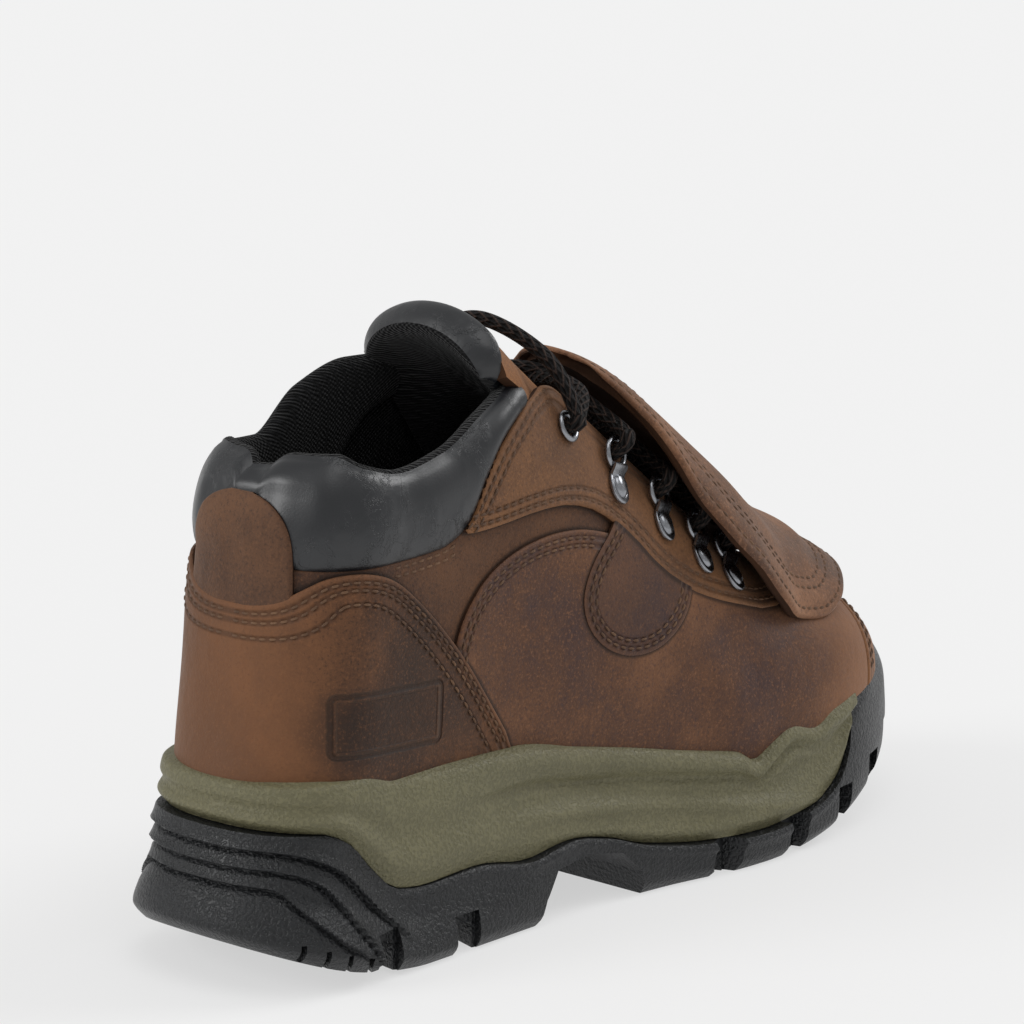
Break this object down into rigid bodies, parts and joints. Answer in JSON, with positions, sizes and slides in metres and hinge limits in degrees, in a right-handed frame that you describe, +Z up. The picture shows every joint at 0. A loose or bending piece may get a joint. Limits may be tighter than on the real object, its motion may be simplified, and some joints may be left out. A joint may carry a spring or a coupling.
{
  "type": "metatarsal guard work boot",
  "caption": "Low leather work boot with a padded flap over laces and instep, padded black collar, waved foam midsole and lugged rubber outsole that wraps the toe.",
  "frame": {"origin": "Middle of the boot's bounding box on the ground, between heel and toe tips.", "axes": "X runs from heel to toe, -Y is the outer (lateral) side, Z is up; the boot stands on Z = 0."},
  "size_m": [0.305, 0.1092, 0.1814],
  "materials": {
    "brown_leather": "mottled brown nubuck, matte",
    "collar_black": "smooth black synthetic leather, low sheen",
    "lining_knit": "black knit lining, matte",
    "midsole_foam": "olive foam, pebbled, matte",
    "sole_rubber": "charcoal rubber, pebbled, matte",
    "lace_cord": "round braided cord, black and brown",
    "gunmetal": "gunmetal plated steel, glossy"
  },
  "bodies": {
    "root": {"outsole": "sole_rubber", "midsole": "midsole_foam", "insole": "lining_knit", "upper": "brown_leather", "vamp": "brown_leather", "toe_cap": "brown_leather", "heel_counter": "brown_leather", "eyestay_lateral": "brown_leather", "side_patch_lateral": "brown_leather", "eyestay_medial": "brown_leather", "side_patch_medial": "brown_leather", "collar": "collar_black", "heel_tab": "brown_leather", "tongue": "brown_leather", "tongue_pad": "collar_black", "met_guard": "brown_leather", "lace": "lace_cord", "eyelet_lateral": "gunmetal", "d_ring_lateral_1": "gunmetal", "d_ring_lateral_2": "gunmetal", "d_ring_lateral_3": "gunmetal", "d_ring_lateral_4": "gunmetal", "eyelet_medial": "gunmetal", "d_ring_medial_1": "gunmetal", "d_ring_medial_2": "gunmetal", "d_ring_medial_3": "gunmetal", "d_ring_medial_4": "gunmetal"}
  },
  "joints": []
}
